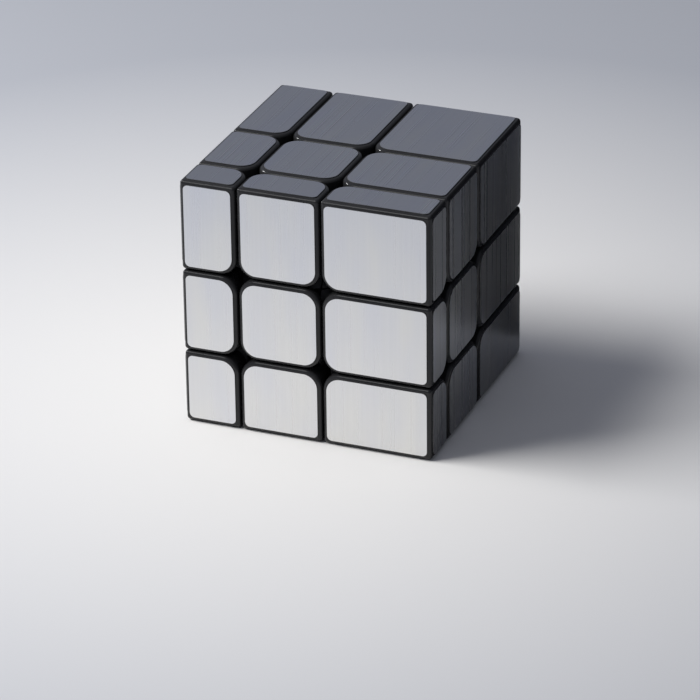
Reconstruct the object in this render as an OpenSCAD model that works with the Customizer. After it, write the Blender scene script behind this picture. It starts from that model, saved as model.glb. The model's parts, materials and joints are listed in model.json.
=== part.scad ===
// Mirror block cube: a 3 x 3 x 3 twisty puzzle in one colour, whose pieces differ in size instead.
// Frame: millimetres, +Z up, origin at the middle of the resting face, front face towards -Y.
// Every piece is drawn about the core's centre, where the six turning axes meet, and moved to core_at.

/* [Cube] */
// Edge length of the solved cube, over the foil
cube_size = 57; // [56:0.5:58]
// Thickness of the middle layer, the same along all three axes
middle_layer = 19; // [18.8:0.1:19.2]
// Thickness of the left layer
left_layer = 13; // [12:0.5:14.5]
// Thickness of the front layer, the thinnest of the six
front_layer = 10; // [9.8:0.1:10.5]
// Thickness of the bottom layer
bottom_layer = 17; // [15:0.5:18]

/* [Pieces] */
// Space between two neighbouring pieces
piece_gap = 0.3; // [0.2:0.05:0.35]
// Wall of the hollow shells and caps
wall = 1.5; // [1.4:0.1:1.6]
// Bevel along the outside edges and seams of a piece
edge_bevel = 0.6; // [0.4:0.1:0.8]
// Radius of a piece's corner where four pieces meet on a face
crossing_radius = 4; // [3:0.1:4.4]

/* [Foil] */
// Thickness of a foil sticker
foil = 0.2; // [0.1:0.05:0.3]
// Bare plastic left round a sticker
foil_margin = 0.9; // [0.7:0.1:1.2]
// Radius of a sticker's ordinary corners
foil_corner = 1.1; // [0.6:0.1:1.4]
// Radius of a sticker's corner where four pieces meet
foil_crossing = 3.2; // [2:0.1:3.6]

/* [Mechanism] */
// Radius of the hollow ball that the feet run round
foot_inner = 10; // [9.8:0.1:10.2]
// Radius at which the feet are held down
foot_outer = 17; // [16.8:0.1:17.1]
// Radius of the necks between the feet and the shells
neck_outer = 19.15; // [18.8:0.05:19.2]
// Half width that the feet leave free round each turning axis
foot_cut = 5.4; // [5.35:0.05:5.5]
// Half width that the necks leave free round each turning axis
neck_cut = 8; // [7.8:0.1:8.2]

/* [Core] */
// Radius of the core's ball
core_ball = 6.5; // [6:0.1:7]
// Radius of its six arms
arm_radius = 4.2; // [3.8:0.1:4.6]
// Distance from the core's centre to the end of an arm
arm_end = 9.5; // [9.3:0.1:9.6]

/* [Centres and screws] */
// Outside radius of a centre's stalk
stalk_radius = 5.2; // [5:0.05:5.2]
// Bore of the stalk, round the spring and the screw's head
stalk_bore = 3.9; // [3.6:0.1:4]
// Distance from the core's centre to the plane that the caps sit on
cap_seat = 17.6; // [17.55:0.05:17.7]
// Radius of a screw's shank
shank_radius = 1.5; // [1.3:0.05:1.6]
// Radius of a screw's head
head_radius = 2.7; // [2.5:0.1:3]
// Thickness of a spring's wire
spring_wire = 0.6; // [0.4:0.05:0.7]

/* [Hidden] */
cut = middle_layer / 2;
half_gap = piece_gap / 2;
side_low = (cube_size - middle_layer) / 2;
core_at = [left_layer - side_low, front_layer - side_low, bottom_layer + cut];
// Distance of each face from the core's centre, towards the low and the high end of X, Y and Z
reach_low = [left_layer + cut, front_layer + cut, bottom_layer + cut];
reach_high = [for (reach = reach_low) cube_size - reach];

// A foot's plug sits in a socket in its shell, from the cut planes to plug_end
plug_end = 14.5;
plug_half = 6;
glue_gap = 0.05;
web = 2;                // depth to which a foot and its neck run into each other

floor_bottom = 9.7;     // the stalk's floor, which the spring presses on
floor_top = 11.2;
washer_bottom = 14.7;
washer = 0.45;
washer_rim = 0.6;       // by which a washer reaches past the screw's head
end_play = 0.05;        // gap at each end of a spring and under a screw's head
head_height = 1.8;
head_dome = 4.5;        // radius of the head's rounded top
head_bottom = washer_bottom + washer + end_play;
shank_tip = 4;
pilot_tip = 3.4;        // bottom of the core's screw holes, past the screw's tip
thread_clearance = 0.05;
floor_clearance = 0.08;
recess = [0.7, 3.4, 1.1];  // cross recess of a screw's head: slot width, slot length, depth
spring_radius = 2.6;
spring_turns = 3;
spring_sides = 8;
spring_steps = 14;      // rings in one turn of a spring
peg_offset = 6.3;
peg_radius = 0.85;
peg_length = 1.7;
peg_clearance = 0.1;
peg_root = 0.1;         // depth to which a peg runs into its boss
boss_radius = 1.5;
shallow_cap = 1;        // a cap with less room than this inside is a solid plate

arc_steps = 5;
foil_steps = [3, 6];    // steps in a sticker's ordinary and crossing corners
beyond = 4 * cube_size; // longer than anything in the cube
$fn = 64;

plastic = [0.05, 0.05, 0.055];
silver = [0.78, 0.79, 0.81];
nylon = [0.85, 0.84, 0.8];
steel = [0.62, 0.63, 0.65];

// A piece's place is -1, 0 or 1 along X, Y and Z. These are the places of the three kinds of piece.
CENTRES = [[0, -1, 0], [0, 1, 0], [-1, 0, 0], [1, 0, 0], [0, 0, 1], [0, 0, -1]];
EDGES = [for (z = [1, 0, -1], y = [-1, 0, 1], x = [-1, 0, 1]) if (abs(x) + abs(y) + abs(z) == 2) [x, y, z]];
CORNERS = [for (z = [1, -1], y = [-1, 1], x = [-1, 1]) [x, y, z]];
LEVELS = [1, 0, -1];

function level_name(z) = z > 0 ? "top" : z < 0 ? "bottom" : "middle";
function join(words) = len(words) == 1 ? words[0]
    : str(words[0], "_", join([for (i = [1:len(words) - 1]) words[i]]));
function place_name(p) = join([
    if (p.z != 0) level_name(p.z),
    if (p.y != 0) p.y < 0 ? "front" : "back",
    if (p.x != 0) p.x < 0 ? "left" : "right"]);

NODES = [
    "core", "springs", "washers",
    for (p = CENTRES) str(place_name(p), "_screw"),
    for (p = CENTRES) str(place_name(p), "_centre_base"),
    for (p = CENTRES) str(place_name(p), "_centre_cap"),
    for (p = CENTRES) str(place_name(p), "_cap_sticker"),
    for (p = EDGES) str("edge_shell_", place_name(p)),
    for (p = CORNERS) str("corner_shell_", place_name(p)),
    for (z = LEVELS) str(level_name(z), "_edge_feet"),
    for (z = [1, -1]) str(level_name(z), "_corner_feet"),
    for (z = LEVELS) str(level_name(z), "_side_stickers"),
    for (z = [1, -1]) str(level_name(z), "_face_stickers"),
];
node = "all";

function wanted(name) = node == "all" || node == name;

// ---- Shapes shared by the pieces ----

// Ends of a piece's block along one axis, for its place i there
function low(axis, i) = i < 0 ? foil - reach_low[axis] : i == 0 ? half_gap - cut : cut + half_gap;
function high(axis, i) = i > 0 ? reach_high[axis] - foil : i == 0 ? cut - half_gap : -cut - half_gap;

// The two axes across an axis, and the turn that lays an outline in them
function across(axis) = axis == 0 ? [1, 2] : axis == 1 ? [0, 2] : [0, 1];
LAID = [[90, 0, 90], [90, 0, 0], [0, 0, 0]];

// The outline of the piece at p seen along an axis. radii and steps are pairs: ordinary corners, then
// those where four pieces meet, which lie between two sides that both face other pieces.
function outline(p, axis, inset, radii, steps) = [
    for (q = [0:3])
        let (
            b = across(axis)[0],
            c = across(axis)[1],
            sb = q == 0 || q == 3 ? -1 : 1,
            sc = q < 2 ? -1 : 1,
            kind = p[b] != sb && p[c] != sc ? 1 : 0,
            r = radii[kind],
            x = (sb < 0 ? low(b, p[b]) : high(b, p[b])) - sb * (inset + r),
            y = (sc < 0 ? low(c, p[c]) : high(c, p[c])) - sc * (inset + r))
        for (t = [0:steps[kind]])
            let (angle = 180 + 90 * (q + t / steps[kind]))
            [x + r * cos(angle), y + r * sin(angle)]];

// The full block of the piece at p, from the cut planes to the outside
module block(p) {
    intersection_for (axis = [0:2])
        rotate(LAID[axis])
            linear_extrude(height = beyond, center = true)
                polygon(outline(p, axis, 0, [edge_bevel, crossing_radius], [1, arc_steps]));
}

// The space inside a shell or a cap: its block, less a wall on every side
module cavity(p) {
    intersection_for (axis = [0:2])
        rotate(LAID[axis])
            linear_extrude(height = beyond, center = true)
                polygon(outline(p, axis, wall, [edge_bevel, crossing_radius - wall], [1, 2]));
}

// The box from inner to outer along each axis where p is -1 or 1, and half to either side where it is 0
module span(p, inner, half, outer) {
    ends = [for (i = p) i == 0 ? [-half, half] : i > 0 ? [inner, outer] : [-outer, -inner]];
    translate([for (e = ends) e[0]])
        cube([for (e = ends) e[1] - e[0]]);
}

module hollow_ball(inner, outer) {
    difference() {
        sphere(outer);
        sphere(inner);
    }
}

// Turns +Z to the direction of a centre's place
module facing(p) {
    rotate([p.y == 0 ? (p.z < 0 ? 180 : 0) : -90 * p.y, 90 * p.x, 0])
        children();
}

// ---- Core, screws, springs and washers ----

module core() {
    color(nylon)
        difference() {
            union() {
                sphere(core_ball);
                for (p = CENTRES)
                    facing(p) cylinder(r = arm_radius, h = arm_end);
            }
            for (p = CENTRES)
                facing(p)
                    translate([0, 0, pilot_tip])
                        cylinder(r = shank_radius + thread_clearance, h = arm_end);
        }
}

module screw() {
    color(steel)
        difference() {
            union() {
                translate([0, 0, shank_tip])
                    cylinder(r = shank_radius, h = head_bottom + head_height / 2 - shank_tip);
                intersection() {
                    translate([0, 0, head_bottom])
                        cylinder(r = head_radius, h = 2 * head_height);
                    translate([0, 0, head_bottom + head_height - head_dome])
                        sphere(head_dome);
                }
            }
            for (turn = [0, 90])
                rotate(turn)
                    translate([-recess.x / 2, -recess.y / 2, head_bottom + head_height - recess.z])
                        cube(recess);
        }
}

module washer() {
    color(steel)
        translate([0, 0, washer_bottom])
            difference() {
                cylinder(r = head_radius + washer_rim, h = washer);
                translate([0, 0, -washer])
                    cylinder(r = shank_radius + floor_clearance, h = 3 * washer);
            }
}

// A point on the spring's wire: ring r of the helix, side s of the wire
function spring_point(r, s) =
    let (
        turn = 360 * r / spring_steps,
        side = 360 * s / spring_sides,
        wire = spring_wire / 2,
        travel = washer_bottom - floor_top - spring_wire - 2 * end_play,
        reach = spring_radius + wire * cos(side),
        z = floor_top + end_play + wire + travel * r / (spring_turns * spring_steps) + wire * sin(side))
    [reach * cos(turn), reach * sin(turn), z];

module spring() {
    rings = spring_turns * spring_steps;
    points = [for (r = [0:rings], s = [0:spring_sides - 1]) spring_point(r, s)];
    walls = [
        for (r = [0:rings - 1], s = [0:spring_sides - 1])
            let (
                a = r * spring_sides + s,
                b = r * spring_sides + (s + 1) % spring_sides)
            each [[a, a + spring_sides, b], [b, a + spring_sides, b + spring_sides]]];
    ends = [
        [for (s = [0:spring_sides - 1]) s],
        [for (s = [spring_sides - 1:-1:0]) rings * spring_sides + s]];
    color(steel) polyhedron(points, concat(walls, ends));
}

// ---- Centres: a base on the screw, and a cap that presses onto it ----

module peg_places() {
    for (x = [-1, 1], y = [-1, 1])
        translate([x * peg_offset, y * peg_offset, 0])
            children();
}

module centre_base() {
    plate = 2 * (neck_cut - half_gap);
    color(plastic)
        difference() {
            union() {
                translate([0, 0, floor_bottom])
                    cylinder(r = stalk_radius, h = cap_seat - floor_bottom);
                difference() {
                    translate([-plate / 2, -plate / 2, floor_bottom])
                        cube([plate, plate, cap_seat - floor_bottom]);
                    sphere(foot_outer + half_gap);
                }
            }
            translate([0, 0, floor_top])
                cylinder(r = stalk_bore, h = beyond);
            cylinder(r = shank_radius + floor_clearance, h = beyond);
            peg_places()
                translate([0, 0, cap_seat - peg_length - 2 * peg_clearance])
                    cylinder(r = peg_radius + peg_clearance, h = beyond);
        }
}

// The cap of the centre at p. A deep cap is a hollow box on four bosses, a shallow one a plate.
module centre_cap(p) {
    reach = max([for (axis = [0:2]) p[axis] < 0 ? reach_low[axis] : p[axis] > 0 ? reach_high[axis] : 0]);
    roof = reach - foil - wall;
    color(plastic)
        union() {
            difference() {
                block(p);
                facing(p)
                    translate([-cut, -cut, 0])
                        cube([2 * cut, 2 * cut, cap_seat]);
                if (roof - cap_seat > shallow_cap)
                    cavity(p);
            }
            facing(p)
                peg_places() {
                    translate([0, 0, cap_seat])
                        cylinder(r = boss_radius, h = roof - cap_seat + wall / 2);
                    translate([0, 0, cap_seat - peg_length])
                        cylinder(r = peg_radius, h = peg_length + peg_root);
                }
        }
}

// ---- Edges and corners: a hollow shell outside, and a foot that the neighbours hold down ----

module shell(p) {
    color(plastic)
        difference() {
            block(p);
            difference() {
                cavity(p);
                span(p, 0, cut, plug_end + wall);
            }
            span(p, cut, plug_half + glue_gap, plug_end + glue_gap);
            sphere(neck_outer + half_gap);
        }
}

module foot(p) {
    color(plastic)
        union() {
            intersection() {
                span(p, foot_cut + half_gap, foot_cut - half_gap, neck_outer);
                hollow_ball(foot_inner + half_gap, foot_outer - half_gap);
            }
            intersection() {
                span(p, neck_cut + half_gap, foot_cut - half_gap, neck_outer);
                hollow_ball(foot_outer - web, foot_outer + web / 2);
            }
            intersection() {
                span(p, neck_cut + half_gap, neck_cut - half_gap, neck_outer);
                hollow_ball(foot_outer + half_gap, neck_outer - half_gap);
            }
            difference() {
                span(p, cut + half_gap, plug_half, plug_end);
                sphere(foot_outer + half_gap);
            }
        }
}

// ---- Foil ----

// The sticker on the outside of the piece at p that lies across an axis
module sticker(p, axis) {
    top = p[axis] > 0 ? reach_high[axis] : foil - reach_low[axis];
    // the turn for Y points its extrusion at -Y
    start = axis == 1 ? -top : top - foil;
    color(silver)
        rotate(LAID[axis])
            translate([0, 0, start])
                linear_extrude(height = foil)
                    polygon(outline(p, axis, foil_margin, [foil_corner, foil_crossing], foil_steps));
}

module side_stickers(z) {
    for (p = concat(EDGES, CORNERS), axis = [0, 1])
        if (p.z == z && p[axis] != 0)
            sticker(p, axis);
}

module face_stickers(z) {
    for (p = concat(EDGES, CORNERS))
        if (p.z == z)
            sticker(p, 2);
}

// ---- The nodes ----

module placed() {
    translate(core_at)
        children();
}

if (wanted("core")) placed() core();
if (wanted("springs")) placed() for (p = CENTRES) facing(p) spring();
if (wanted("washers")) placed() for (p = CENTRES) facing(p) washer();
for (p = CENTRES) {
    if (wanted(str(place_name(p), "_screw"))) placed() facing(p) screw();
    if (wanted(str(place_name(p), "_centre_base"))) placed() facing(p) centre_base();
    if (wanted(str(place_name(p), "_centre_cap"))) placed() centre_cap(p);
    if (wanted(str(place_name(p), "_cap_sticker"))) placed() sticker(p, p.x != 0 ? 0 : p.y != 0 ? 1 : 2);
}
for (p = EDGES)
    if (wanted(str("edge_shell_", place_name(p)))) placed() shell(p);
for (p = CORNERS)
    if (wanted(str("corner_shell_", place_name(p)))) placed() shell(p);
for (z = LEVELS) {
    if (wanted(str(level_name(z), "_edge_feet"))) placed() for (p = EDGES) if (p.z == z) foot(p);
    if (wanted(str(level_name(z), "_side_stickers"))) placed() side_stickers(z);
}
for (z = [1, -1]) {
    if (wanted(str(level_name(z), "_corner_feet"))) placed() for (p = CORNERS) if (p.z == z) foot(p);
    if (wanted(str(level_name(z), "_face_stickers"))) placed() face_stickers(z);
}
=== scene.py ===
"""Looks of the mirror block cube: filleted gloss blocks, brushed foil, and the mechanism inside them."""
import json
import math
from itertools import product

import bmesh
import bpy
from mathutils import Matrix, Vector

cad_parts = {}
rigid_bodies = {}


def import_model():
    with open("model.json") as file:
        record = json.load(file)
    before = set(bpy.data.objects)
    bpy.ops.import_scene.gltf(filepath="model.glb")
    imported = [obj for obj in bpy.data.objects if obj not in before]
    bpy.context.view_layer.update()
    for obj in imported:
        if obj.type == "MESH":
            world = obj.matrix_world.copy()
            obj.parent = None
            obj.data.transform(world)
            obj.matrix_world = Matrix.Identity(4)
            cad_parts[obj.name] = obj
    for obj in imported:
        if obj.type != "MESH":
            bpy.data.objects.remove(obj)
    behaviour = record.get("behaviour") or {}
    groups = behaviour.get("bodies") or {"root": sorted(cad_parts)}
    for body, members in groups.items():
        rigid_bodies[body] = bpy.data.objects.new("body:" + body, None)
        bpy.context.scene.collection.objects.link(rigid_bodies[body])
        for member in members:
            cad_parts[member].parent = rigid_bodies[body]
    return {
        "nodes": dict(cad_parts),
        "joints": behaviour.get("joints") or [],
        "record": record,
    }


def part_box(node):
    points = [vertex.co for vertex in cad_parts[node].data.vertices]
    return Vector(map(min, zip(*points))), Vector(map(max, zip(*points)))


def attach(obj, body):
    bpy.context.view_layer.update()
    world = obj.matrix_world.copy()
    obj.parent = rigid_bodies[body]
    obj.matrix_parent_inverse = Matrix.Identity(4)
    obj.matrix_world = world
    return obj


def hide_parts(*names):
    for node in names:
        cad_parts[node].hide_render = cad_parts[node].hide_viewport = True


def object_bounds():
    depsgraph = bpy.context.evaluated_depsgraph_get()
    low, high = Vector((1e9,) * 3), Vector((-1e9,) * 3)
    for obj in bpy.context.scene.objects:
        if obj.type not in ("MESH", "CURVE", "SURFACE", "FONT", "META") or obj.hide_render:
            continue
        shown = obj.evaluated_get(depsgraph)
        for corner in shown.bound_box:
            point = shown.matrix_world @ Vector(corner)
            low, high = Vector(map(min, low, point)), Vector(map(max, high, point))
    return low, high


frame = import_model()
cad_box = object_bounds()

MM = 0.001

# Shapes, as in the CAD source
CROSSING_RADIUS = 4.0 * MM      # a block's corner where four pieces meet on a face
EDGE_RADIUS = 0.8 * MM          # every other visible edge of a block
WALL = 1.5 * MM
NECK_SPACE = 19.3 * MM          # radius of the hollow that the necks turn in
SOCKET_START = 9.5 * MM         # the socket for a foot's plug, along the outward axes
SOCKET_END = 14.55 * MM
SOCKET_HALF = 6.05 * MM
CAP_SEAT = 17.6 * MM            # distance from the core to the plane that the caps sit on
PEG_OFFSET = 6.3 * MM
PEG_RADIUS = 0.85 * MM
PEG_LENGTH = 1.7 * MM
BOSS_RADIUS = 1.5 * MM
SHALLOW_CAP = 1.0 * MM          # a cap with less room than this inside is a solid plate
FOIL = 0.2 * MM
FOIL_MARGIN = 0.9 * MM
FOIL_CORNER = 1.1 * MM
FOIL_CROSSING = 3.2 * MM
FOIL_EDGE = 0.03 * MM           # rounding of a sticker's cut edge

CROSSING_STEPS = 12
EDGE_STEPS = 5
CREASE = math.radians(32)       # edges sharper than this stay sharp in the shading
ALIGNED = 0.999                 # a face whose normal is this near an axis lies across it
WELD = 1e-7                     # points nearer than this are joined after a cut
BRUSH_SHIFT = (0.137, 0.071)    # offset of a sticker's brush map for each step of its number

SIDES = {
    "left": Vector((-1, 0, 0)), "right": Vector((1, 0, 0)),
    "front": Vector((0, -1, 0)), "back": Vector((0, 1, 0)),
    "bottom": Vector((0, 0, -1)), "top": Vector((0, 0, 1)),
}

core_at = Vector(frame["joints"][0]["pos_m"])
body_with = {
    node: body
    for body, nodes in frame["record"]["behaviour"]["bodies"].items()
    for node in nodes
}


def place_of(name):
    """The place in the cube, -1, 0 or 1 along each axis, that a node's name tells."""
    return sum((SIDES[word] for word in name.split("_") if word in SIDES), Vector((0, 0, 0)))


# ---- Materials ----

class Nodes:
    """A material's node tree, with short calls to add and join nodes."""

    def __init__(self, name, **sockets):
        self.material = bpy.data.materials.new(name)
        self.material.use_nodes = True
        self.tree = self.material.node_tree
        self.shader = self.tree.nodes["Principled BSDF"]
        for socket, value in sockets.items():
            self.shader.inputs[socket.replace("_", " ")].default_value = value

    def add(self, kind, links=(), **settings):
        node = self.tree.nodes.new(kind)
        for key, value in settings.items():
            if key in node.inputs:
                node.inputs[key].default_value = value
            else:
                setattr(node, key, value)
        for socket, source in dict(links).items():
            self.tree.links.new(source, node.inputs[socket])
        return node

    def drive(self, socket, source):
        self.tree.links.new(source, self.shader.inputs[socket])

    def noise(self, vector, scale, stretch=(1, 1, 1), detail=3.0):
        """Noise whose cells are 1/scale across, narrower along an axis by its stretch."""
        mapping = self.add("ShaderNodeMapping", {"Vector": vector})
        mapping.inputs["Scale"].default_value = stretch
        texture = self.add("ShaderNodeTexNoise", {"Vector": mapping.outputs["Vector"]},
                           Scale=scale, Detail=detail)
        return texture.outputs["Fac"]

    def spread(self, value, low, high, start=0.3, end=0.7):
        """value's range start to end, taken to low to high."""
        ranged = self.add("ShaderNodeMapRange", {"Value": value})
        ranged.inputs["From Min"].default_value = start
        ranged.inputs["From Max"].default_value = end
        ranged.inputs["To Min"].default_value = low
        ranged.inputs["To Max"].default_value = high
        return ranged.outputs["Result"]

    def ramp(self, value, low, high, start=0.3, end=0.7):
        """A colour between low and high by value."""
        ramp = self.add("ShaderNodeValToRGB", {"Fac": value})
        first, last = ramp.color_ramp.elements
        first.position, last.position = start, end
        first.color, last.color = (*low, 1), (*high, 1)
        return ramp.outputs["Color"]

    def bump(self, height, distance, under=None):
        """A bump of that height in metres, over another bump's normal if one is given."""
        links = {"Height": height}
        if under is not None:
            links["Normal"] = under
        node = self.add("ShaderNodeBump", links, Strength=1.0, Distance=distance)
        return node.outputs["Normal"]

    def place(self):
        return self.add("ShaderNodeTexCoord").outputs["Object"]


def gloss_black():
    """Moulded black plastic with a high gloss, faint smears and the slight swell of a moulded wall."""
    n = Nodes("black_plastic_gloss", IOR=1.5, Specular_IOR_Level=0.32)
    at = n.place()
    smears = n.noise(at, 110, (1, 1, 0.5), detail=4)
    grain = n.noise(at, 2600, detail=2)
    swell = n.noise(at, 70, detail=1)
    n.drive("Base Color", n.ramp(smears, (0.016, 0.016, 0.017), (0.024, 0.024, 0.025)))
    n.drive("Roughness", n.spread(smears, 0.12, 0.24))
    rough = n.bump(grain, 0.001 * MM)
    n.drive("Normal", n.bump(swell, 0.05 * MM, under=rough))
    return n.material


def brushed_foil():
    """Silver foil, brushed along V of the map called brush (in metres), in faint cool and warm bands."""
    n = Nodes("silver_foil_brushed", Metallic=1.0, Anisotropic=0.55)
    at = n.add("ShaderNodeUVMap", uv_map="brush").outputs["UV"]
    hairs = n.noise(at, 8, (850, 1, 1), detail=2)
    streaks = n.noise(at, 5, (260, 1, 1), detail=3)
    bands = n.noise(at, 150, (1, 0.25, 1), detail=2)
    tint = n.ramp(bands, (0.775, 0.785, 0.82), (0.825, 0.825, 0.81))
    grey = n.ramp(streaks, (0.95, 0.95, 0.95), (1, 1, 1), 0.25, 0.75)
    blend = n.add("ShaderNodeMix", data_type="RGBA", blend_type="MULTIPLY")
    blend.inputs["Factor"].default_value = 1.0
    n.tree.links.new(tint, blend.inputs["A"])
    n.tree.links.new(grey, blend.inputs["B"])
    n.drive("Base Color", blend.outputs["Result"])
    n.drive("Roughness", n.spread(streaks, 0.26, 0.32))
    n.drive("Normal", n.bump(hairs, 0.0007 * MM))
    n.drive("Tangent", n.add("ShaderNodeTangent", direction_type="UV_MAP", uv_map="brush").outputs[0])
    return n.material


def satin_plastic(name, dark, light, roughness):
    """Moulded plastic with a fine sparked texture, for the parts inside."""
    n = Nodes(name, IOR=1.5)
    at = n.place()
    patches = n.noise(at, 160, detail=3)
    grain = n.noise(at, 5200, detail=2)
    n.drive("Base Color", n.ramp(patches, dark, light))
    n.drive("Roughness", n.spread(patches, roughness - 0.06, roughness + 0.06))
    n.drive("Normal", n.bump(grain, 0.006 * MM))
    return n.material


def plated_steel(name, dark, light, roughness):
    """Plated or drawn steel, slightly clouded, with fine marks."""
    n = Nodes(name, Metallic=1.0)
    at = n.place()
    patches = n.noise(at, 500, detail=3)
    marks = n.noise(at, 9000, detail=2)
    n.drive("Base Color", n.ramp(patches, dark, light))
    n.drive("Roughness", n.spread(patches, roughness - 0.06, roughness + 0.06))
    n.drive("Normal", n.bump(marks, 0.0008 * MM))
    return n.material


LOOKS = {
    "black_plastic": gloss_black(),
    "silver_foil": brushed_foil(),
    "mechanism_plastic": satin_plastic("mechanism_black", (0.034, 0.034, 0.035),
                                       (0.052, 0.052, 0.054), 0.36),
    "foil_edge": satin_plastic("foil_cut_edge", (0.05, 0.05, 0.052), (0.09, 0.09, 0.093), 0.5),
    "core_nylon": satin_plastic("core_nylon_natural", (0.70, 0.68, 0.61), (0.80, 0.785, 0.725), 0.42),
    "screw_steel": plated_steel("screw_zinc", (0.50, 0.51, 0.53), (0.68, 0.685, 0.70), 0.28),
    "spring_steel": plated_steel("spring_wire", (0.42, 0.42, 0.43), (0.56, 0.56, 0.57), 0.34),
}


# ---- Mesh helpers ----

def new_piece(name, bm, look, node, *more_looks):
    """A piece with that mesh and look, in place of a CAD node and on its body."""
    mesh = bpy.data.meshes.new(name)
    bm.normal_update()
    for face in bm.faces:
        face.smooth = True
    for edge in bm.edges:
        edge.smooth = edge.is_manifold and edge.calc_face_angle() < CREASE
    bm.to_mesh(mesh)
    bm.free()
    for one in (look, *more_looks):
        mesh.materials.append(LOOKS[one])
    piece = bpy.data.objects.new(name, mesh)
    bpy.context.scene.collection.objects.link(piece)
    weighted = piece.modifiers.new("flat_faces_stay_flat", "WEIGHTED_NORMAL")
    weighted.keep_sharp = True
    weighted.weight = 100
    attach(piece, body_with[node])
    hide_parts(node)
    return piece


def box(lo, hi):
    bm = bmesh.new()
    bmesh.ops.create_cube(bm, size=1)
    for vert in bm.verts:
        vert.co = Vector(lo[i] if vert.co[i] < 0 else hi[i] for i in range(3))
    bm.normal_update()
    return bm


def bevel(bm, edges, radius, steps):
    bmesh.ops.bevel(bm, geom=edges, offset=radius, segments=steps, profile=0.5,
                    affect="EDGES", clamp_overlap=False, loop_slide=True)
    bm.normal_update()


def in_fixed_order(bm):
    """The same mesh with its points and faces ordered by their places. It uses bm up.

    Blender's bevels and cuts give the same shape each time, but number its points and faces anew.
    """
    verts = sorted(bm.verts, key=lambda vert: tuple(vert.co))
    number = {vert: i for i, vert in enumerate(verts)}
    rings = []
    for face in bm.faces:
        ring = [number[vert] for vert in face.verts]
        first = ring.index(min(ring))
        rings.append(ring[first:] + ring[:first])
    ordered = bmesh.new()
    points = [ordered.verts.new(vert.co) for vert in verts]
    for ring in sorted(rings):
        ordered.faces.new([points[i] for i in ring])
    bm.free()
    ordered.normal_update()
    return ordered


def carve(bm, cutter, operation="DIFFERENCE"):
    """bm less cutter, or joined with it. Both are used up."""
    made = []
    for part in (bm, cutter):
        mesh = bpy.data.meshes.new("carving")
        part.to_mesh(mesh)
        part.free()
        made.append(bpy.data.objects.new("carving", mesh))
        bpy.context.scene.collection.objects.link(made[-1])
    cut = made[0].modifiers.new("cut", "BOOLEAN")
    cut.operation, cut.solver, cut.object = operation, "EXACT", made[1]
    evaluated = made[0].evaluated_get(bpy.context.evaluated_depsgraph_get())
    result = bmesh.new()
    result.from_mesh(evaluated.to_mesh())
    for object_made in made:
        mesh = object_made.data
        bpy.data.objects.remove(object_made)
        bpy.data.meshes.remove(mesh)
    bmesh.ops.remove_doubles(result, verts=result.verts, dist=WELD)
    bmesh.ops.dissolve_degenerate(result, edges=result.edges, dist=WELD)
    return in_fixed_order(result)


def is_outer(face, place):
    """True for a flat face on the outside of the solved cube."""
    return any(place[i] and face.normal[i] * place[i] > ALIGNED for i in range(3))


def rounded_block(lo, hi, place):
    """A block with a wide round where four pieces meet and small fillets round its outer faces."""
    bm = box(lo, hi)
    crossing = [
        edge for edge in bm.edges
        if not any(is_outer(face, place) for face in edge.link_faces)
        and any(is_outer(face, place) for vert in edge.verts for face in vert.link_faces)
    ]
    bevel(bm, crossing, CROSSING_RADIUS, CROSSING_STEPS)
    rim = [edge for edge in bm.edges if any(is_outer(face, place) for face in edge.link_faces)]
    bevel(bm, rim, EDGE_RADIUS, EDGE_STEPS)
    return in_fixed_order(bm)


def ball(radius, sides=128):
    bm = bmesh.new()
    bmesh.ops.create_uvsphere(bm, u_segments=sides, v_segments=sides // 2, radius=radius)
    bmesh.ops.translate(bm, verts=bm.verts, vec=core_at)
    return bm


def facing(place):
    """Turns +Z, measured from the core, to the direction of a centre's place."""
    return Matrix.Translation(core_at) @ place.to_track_quat("Z", "Y").to_matrix().to_4x4()


def rod(matrix, x, y, start, end, radius, sides=32):
    bm = bmesh.new()
    bmesh.ops.create_cone(bm, cap_ends=True, segments=sides, radius1=radius, radius2=radius,
                          depth=end - start)
    bmesh.ops.translate(bm, verts=bm.verts, vec=(x, y, (start + end) / 2))
    bmesh.ops.transform(bm, matrix=matrix, verts=bm.verts)
    return bm


# ---- Blocks ----

def shell_block(node):
    """The outer block of an edge or corner, with its socket and the hollow for the necks."""
    place = place_of(node)
    bm = rounded_block(*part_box(node), place)
    ends = [
        (-SOCKET_HALF, SOCKET_HALF) if not i
        else (SOCKET_START, SOCKET_END) if i > 0
        else (-SOCKET_END, -SOCKET_START)
        for i in place
    ]
    lo, hi = (core_at + Vector(end[i] for end in ends) for i in (0, 1))
    bm = carve(bm, ball(NECK_SPACE))
    bm = carve(bm, box(lo, hi))
    new_piece(node.replace("shell", "block"), bm, "black_plastic", node)


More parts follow.
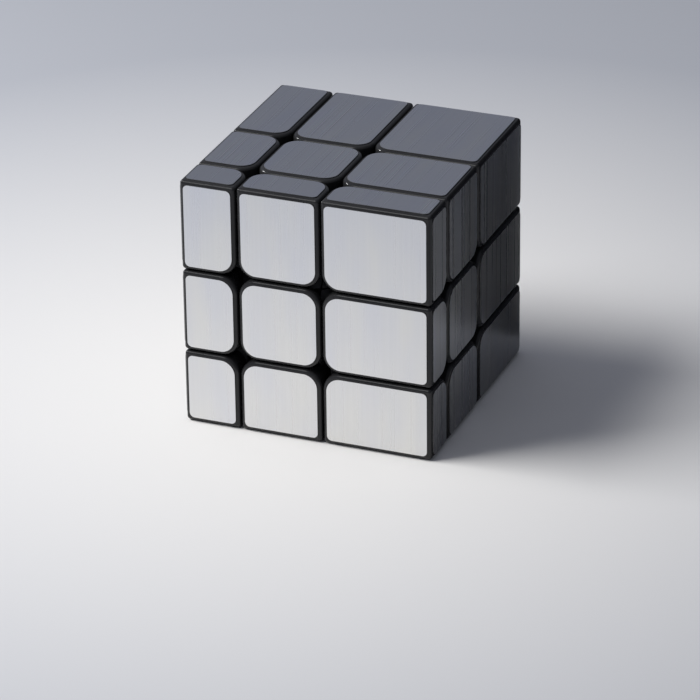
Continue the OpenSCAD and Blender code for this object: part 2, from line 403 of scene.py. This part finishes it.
def centre_cap(node):
    """A centre's cap: a plate, or a hollow box if it is deep, with four pegs underneath."""
    place = place_of(node)
    axis = max(range(3), key=lambda i: abs(place[i]))
    lo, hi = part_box(node)
    inner, outer = (hi, lo) if place[axis] < 0 else (lo, hi)
    inner[axis] = core_at[axis] + place[axis] * CAP_SEAT
    depth = abs(outer[axis] - inner[axis])
    bm = rounded_block(lo, hi, place)
    roof = CAP_SEAT + depth - WALL
    if depth - WALL > SHALLOW_CAP:
        wall = Vector(0 if i == axis else WALL for i in range(3))
        room_lo, room_hi = lo + wall, hi - wall
        room_outer, room_inner = (room_lo, room_hi) if place[axis] < 0 else (room_hi, room_lo)
        room_outer[axis] -= place[axis] * WALL
        room_inner[axis] -= place[axis] * WALL
        room = box(room_lo, room_hi)
        bevel(room, [e for e in room.edges if abs((e.verts[0].co - e.verts[1].co)[axis]) > MM],
              CROSSING_RADIUS - WALL, EDGE_STEPS)
        bm = carve(bm, in_fixed_order(room))
    matrix = facing(place)
    into_roof, into_boss = WALL / 2, WALL / 4
    for x, y in product((-PEG_OFFSET, PEG_OFFSET), repeat=2):
        boss = rod(matrix, x, y, CAP_SEAT, roof + into_roof, BOSS_RADIUS)
        peg = rod(matrix, x, y, CAP_SEAT - PEG_LENGTH, CAP_SEAT + into_boss, PEG_RADIUS)
        bm = carve(carve(bm, boss, "UNION"), peg, "UNION")
    new_piece(node.replace("centre_cap", "cap_block"), bm, "black_plastic", node)


# ---- Foil ----

def foil_outline(lo, hi, place, axes, inset):
    """Points round a sticker on the face of a block that lies in the two axes."""
    points = []
    for quarter, (sx, sy) in enumerate(((-1, -1), (1, -1), (1, 1), (-1, 1))):
        crossing = place[axes[0]] != sx and place[axes[1]] != sy
        radius = (FOIL_CROSSING if crossing else FOIL_CORNER) - inset
        steps = CROSSING_STEPS if crossing else EDGE_STEPS
        corner = [(lo if s < 0 else hi)[a] - s * (FOIL_MARGIN + inset + radius)
                  for a, s in zip(axes, (sx, sy))]
        for step in range(steps + 1):
            angle = math.pi + math.pi / 2 * (quarter + step / steps)
            points.append((corner[0] + radius * math.cos(angle), corner[1] + radius * math.sin(angle)))
    return points


def add_sticker(bm, brush, lo, hi, place, axis, number):
    """A sticker on the block's outer face across an axis. It is brushed upright, or front to back on top."""
    axes = [i for i in range(3) if i != axis]
    plastic = (lo if place[axis] < 0 else hi)[axis]
    rings = []
    for rise, inset in ((0, 0), (FOIL - FOIL_EDGE, 0), (FOIL, FOIL_EDGE)):
        ring = []
        for x, y in foil_outline(lo, hi, place, axes, inset):
            at = Vector((0, 0, 0))
            at[axes[0]], at[axes[1]], at[axis] = x, y, plastic + place[axis] * rise
            ring.append(bm.verts.new(at))
        rings.append(ring)
    faces = [bm.faces.new(rings[0]), bm.faces.new(rings[-1])]
    for inner, outer in zip(rings, rings[1:]):
        for i in range(len(inner)):
            after = (i + 1) % len(inner)
            faces.append(bm.faces.new((inner[i], inner[after], outer[after], outer[i])))
            faces[-1].material_index = 1
    bmesh.ops.recalc_face_normals(bm, faces=faces)
    for face in faces:
        for loop in face.loops:
            co = loop.vert.co
            loop[brush].uv = [co[a] + shift * number for a, shift in zip(axes, BRUSH_SHIFT)]


def sticker_piece(node, owners):
    """One CAD node's stickers. owners lists each one's block node, axis and number."""
    bm = bmesh.new()
    brush = bm.loops.layers.uv.new("brush")
    for block, axis, number in owners:
        place = place_of(block)
        lo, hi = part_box(block)
        add_sticker(bm, brush, lo, hi, place, axis, number)
    new_piece(node + "_foil", bm, "silver_foil", node, "foil_edge")


def make_stickers(blocks):
    """Every sticker, sorted into the CAD nodes that they stand for."""
    groups = {}
    for block in blocks:
        place = place_of(block)
        level = {1: "top", 0: "middle", -1: "bottom"}[round(place.z)]
        for axis in range(3):
            if place[axis]:
                if "cap" in block:
                    node = block.replace("centre_cap", "cap_sticker")
                else:
                    node = level + ("_face_stickers" if axis == 2 else "_side_stickers")
                owners = groups.setdefault(node, [])
                owners.append((block, axis, len(owners) + 3 * len(groups)))
    for node, owners in groups.items():
        sticker_piece(node, owners)


shells = [name for name in sorted(frame["nodes"]) if "_shell_" in name]
caps = [name for name in sorted(frame["nodes"]) if name.endswith("_centre_cap")]
make_stickers(shells + caps)
for name in shells:
    shell_block(name)
for name in caps:
    centre_cap(name)

# ---- CAD nodes that stay as they are ----

slot_of = {part["node"]: part["material_slot"] for part in frame["record"]["subparts"]}
for name, node_object in frame["nodes"].items():
    if not node_object.hide_render:
        node_object.data.materials.clear()
        node_object.data.materials.append(LOOKS[slot_of[name]])

# ---- Floor, light and camera ----

FLOOR_HALF = 3.0
SIGHT_AZIMUTH = math.radians(21.8)
SIGHT_ELEVATION = math.radians(26.04)
SIGHT_ROLL = math.radians(-0.73)
SIGHT_DISTANCE = 0.9135
SIGHT_TARGET = Vector((-1.27, 0, 8.49)) * MM
LENS = 214.3
CLIP_START = 0.05
SHADE_START, SHADE_END = 0.045, 0.20    # distances from the origin over which the floor is painted darker, a painted pool of light round the cube
LIGHTER_SIDE = (-0.7, 0.25, 0.65)       # direction in which the room is lighter

def sheet(name, corners, colour, painted_shade_colour=None):
    """A flat matt sheet of the stage, which may be painted darker away from the cube, a painted pool of
    light round it.
    """
    bm = bmesh.new()
    bm.faces.new([bm.verts.new(corner) for corner in corners])
    mesh = bpy.data.meshes.new(name)
    bm.to_mesh(mesh)
    bm.free()
    n = Nodes(name + "_paint", Roughness=0.9, Specular_IOR_Level=0.0)
    n.shader.inputs["Base Color"].default_value = (*colour, 1)
    if painted_shade_colour:
        # painted shade: the sheet's colour darkens from its near colour to the far one away from the cube
        from_cube = n.add("ShaderNodeVectorMath", {"Vector": n.place()}, operation="LENGTH")
        n.drive("Base Color", n.ramp(from_cube.outputs["Value"], colour, painted_shade_colour,
                                     SHADE_START, SHADE_END))
    mesh.materials.append(n.material)
    made = bpy.data.objects.new(name, mesh)
    bpy.context.scene.collection.objects.link(made)
    return made


def make_floor():
    square = ((-1, -1), (1, -1), (1, 1), (-1, 1))
    # the floor's colour is a painted pool of light: pale near the cube, painted darker and cooler further
    # off
    sheet("floor", [(x * FLOOR_HALF, y * FLOOR_HALF, 0) for x, y in square],
          (0.90, 0.885, 0.86), (0.50, 0.515, 0.555))


def make_dark_reflection_cards():
    """Two dark cards that the right face mirrors to the camera: painted dark reflections, which only
    reflections see.

    One stands behind the cube's right side. The other lies beside the cube and fades out away from it: a
    painted reflection of the cube's shadow round its foot.
    """
    lo, hi = cad_box
    left, right = hi[0] + 1.5 * MM, hi[0] + 50 * MM
    back, height, above_floor = hi[1] + 7 * MM, 90 * MM, 0.2 * MM
    # the lying card is opaque near the cube and fades out away from it: a painted dark reflection of the
    # cube's shadow
    fade_start, fade_end, painted_shadow_opacity = hi[0] + 12 * MM, hi[0] + 38 * MM, 0.7
    # the colour of both cards' painted dark reflections
    dark = (0.02, 0.022, 0.03)
    standing = sheet("standing_flag", [
        (left, back, 0), (right, back, 0), (right, back, height), (left, back, height)], dark)
    ground = ((hi[0], lo[1]), (right, lo[1]), (right, back), (hi[0], back))
    lying = sheet("lying_flag", [(x, y, above_floor) for x, y in ground], dark)
    tree = lying.data.materials[0].node_tree
    split = tree.nodes.new("ShaderNodeSeparateXYZ")
    fade = tree.nodes.new("ShaderNodeMapRange")
    fade.inputs["From Min"].default_value = fade_start
    fade.inputs["From Max"].default_value = fade_end
    fade.inputs["To Min"].default_value = painted_shadow_opacity
    fade.inputs["To Max"].default_value = 0.0
    tree.links.new(tree.nodes.new("ShaderNodeTexCoord").outputs["Object"], split.inputs[0])
    tree.links.new(split.outputs["X"], fade.inputs["Value"])
    tree.links.new(fade.outputs["Result"], tree.nodes["Principled BSDF"].inputs["Alpha"])
    for flag in (standing, lying):
        flag.visible_camera = flag.visible_diffuse = flag.visible_shadow = False


def softbox(name, towards, distance, size, radiance):
    """A square area light in a direction from the cube, aimed at it."""
    light = bpy.data.lights.new(name, "AREA")
    light.size, light.energy = size, radiance * math.pi * size * size
    lamp = bpy.data.objects.new(name, light)
    direction = Vector(towards).normalized()
    lamp.location = core_at + direction * distance
    lamp.rotation_euler = direction.to_track_quat("Z", "Y").to_euler()
    bpy.context.scene.collection.objects.link(lamp)
    return lamp


def make_lights():
    """A soft key that nothing mirrors, and two smaller lights for the gloss of the plastic alone."""
    key = softbox("key", (-0.62, -0.26, 0.74), distance=0.75, size=0.42, radiance=11.6)
    key.visible_glossy = False
    plastics = bpy.data.collections.new("lit_by_gloss_lights")
    for piece in bpy.data.objects:
        if piece.type == "MESH" and LOOKS["black_plastic"].name in piece.data.materials:
            plastics.objects.link(piece)
    for lamp in (softbox("front_fill", (-0.31, -0.58, 0.75), distance=0.9, size=0.38, radiance=2.6),
                 softbox("glint", (-0.84, 0.02, 0.50), distance=0.6, size=0.09, radiance=42)):
        lamp.light_linking.receiver_collection = plastics


def make_world():
    """A dim cool room, lighter above and to the left."""
    world = bpy.data.worlds.new("room")
    bpy.context.scene.world = world
    world.use_nodes = True
    nodes, links = world.node_tree.nodes, world.node_tree.links
    coord = nodes.new("ShaderNodeTexCoord")
    towards = nodes.new("ShaderNodeVectorMath")
    towards.operation = "DOT_PRODUCT"
    towards.inputs[1].default_value = LIGHTER_SIDE
    share = nodes.new("ShaderNodeMapRange")
    share.inputs["From Min"].default_value = -0.5
    ramp = nodes.new("ShaderNodeValToRGB")
    dark, light = ramp.color_ramp.elements
    dark.position, dark.color = 0.0, (0.09, 0.095, 0.11, 1)
    light.position, light.color = 1.0, (0.205, 0.218, 0.265, 1)
    links.new(coord.outputs["Generated"], towards.inputs[0])
    links.new(towards.outputs["Value"], share.inputs["Value"])
    links.new(share.outputs["Result"], ramp.inputs["Fac"])
    links.new(ramp.outputs["Color"], nodes["Background"].inputs["Color"])


def make_camera():
    """A long lens that looks at the cube from its front, its right and above."""
    to_camera = Vector((
        math.sin(SIGHT_AZIMUTH) * math.cos(SIGHT_ELEVATION),
        -math.cos(SIGHT_AZIMUTH) * math.cos(SIGHT_ELEVATION),
        math.sin(SIGHT_ELEVATION),
    ))
    camera = bpy.data.objects.new("camera", bpy.data.cameras.new("camera"))
    camera.data.lens = LENS
    camera.data.clip_start = CLIP_START
    camera.location = SIGHT_TARGET + to_camera * SIGHT_DISTANCE
    camera.rotation_mode = "QUATERNION"
    camera.rotation_quaternion = ((-to_camera).to_track_quat("-Z", "Y").to_matrix()
                                  @ Matrix.Rotation(SIGHT_ROLL, 3, "Z")).to_quaternion()
    bpy.context.scene.collection.objects.link(camera)
    bpy.context.scene.camera = camera


make_floor()
make_dark_reflection_cards()
make_world()
make_lights()
make_camera()
bpy.context.scene.view_settings.view_transform = "Standard"
